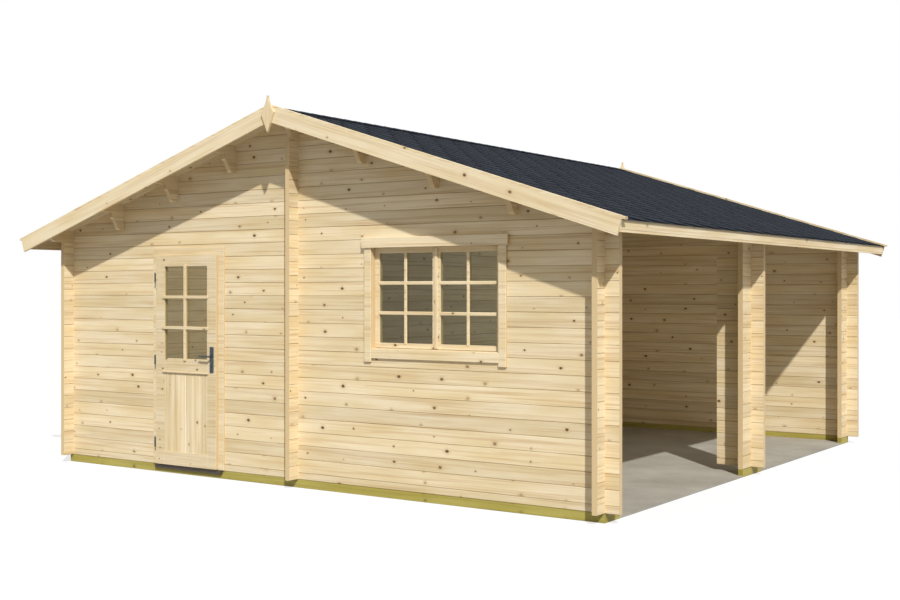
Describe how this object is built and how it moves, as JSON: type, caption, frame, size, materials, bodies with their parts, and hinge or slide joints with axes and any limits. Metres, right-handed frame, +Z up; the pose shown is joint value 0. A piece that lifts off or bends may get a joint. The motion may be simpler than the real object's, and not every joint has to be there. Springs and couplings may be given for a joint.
{
  "type": "log garage",
  "caption": "Log garage with a low gable roof: a closed store with door beside a car bay that is open on one side between post walls.",
  "frame": {"origin": "on the ground at the middle of the plan over the outer log faces", "axes": "+Z up, -Y out of the gable with the door and the window, +X out of the open side"},
  "size_m": [6.448, 6.472, 3.2493],
  "materials": {
    "planed_spruce": "planed, untreated, with small knots",
    "impregnated_spruce": "pressure impregnated, greenish",
    "bitumen_shingle": "bitumen shingles with dark blue-grey mineral granules",
    "concrete": "floated grey concrete",
    "grey_steel": "dark grey, satin",
    "window_glass": "clear float glass"
  },
  "bodies": {
    "building": {"foundation_front": "impregnated_spruce", "foundation_back": "impregnated_spruce", "foundation_long_beams": "impregnated_spruce", "foundation_post_beams": "impregnated_spruce", "concrete_floor": "concrete", "front_wall_left": "planed_spruce", "front_wall_base": "planed_spruce", "front_wall_centre": "planed_spruce", "front_wall_right": "planed_spruce", "front_lintel_log": "planed_spruce", "front_gable": "planed_spruce", "back_wall": "planed_spruce", "back_gable": "planed_spruce", "left_wall": "planed_spruce", "partition_wall": "planed_spruce", "front_corner_post": "planed_spruce", "middle_post": "planed_spruce", "middle_cross_logs": "planed_spruce", "back_corner_post": "planed_spruce", "eaves_log_left": "planed_spruce", "eaves_log_right": "planed_spruce", "ridge_purlin": "planed_spruce", "side_purlins": "planed_spruce", "roof_deck_left": "planed_spruce", "roof_deck_right": "planed_spruce", "roof_covering_left": "bitumen_shingle", "roof_covering_right": "bitumen_shingle", "barge_front_left": "planed_spruce", "barge_front_right": "planed_spruce", "barge_back_left": "planed_spruce", "barge_back_right": "planed_spruce", "barge_caps": "planed_spruce", "finials": "planed_spruce", "fascias": "planed_spruce", "door_frame": "planed_spruce", "door_threshold": "grey_steel", "hinge_pins": "grey_steel", "window_frame": "planed_spruce", "window_sashes": "planed_spruce", "window_glass": "window_glass", "window_trim": "planed_spruce"},
    "door": {"door_leaf": "planed_spruce", "door_glass": "window_glass", "door_backplate": "grey_steel", "door_hinges": "grey_steel"},
    "lever": {"door_lever": "grey_steel"}
  },
  "joints": [
    {"name": "door_swing", "type": "hinge", "parent": "building", "child": "door", "pos_m": [-1.664, -2.921, 1], "axis": [0, 0, -1], "range_deg": [0, 105]},
    {"name": "lever_turn", "type": "hinge", "parent": "door", "child": "lever", "pos_m": [-0.945, -2.93, 1.073], "axis": [0, -1, 0], "range_deg": [0, 35], "stiffness_Nm_per_rad": 1, "springref_deg": -34.38}
  ]
}
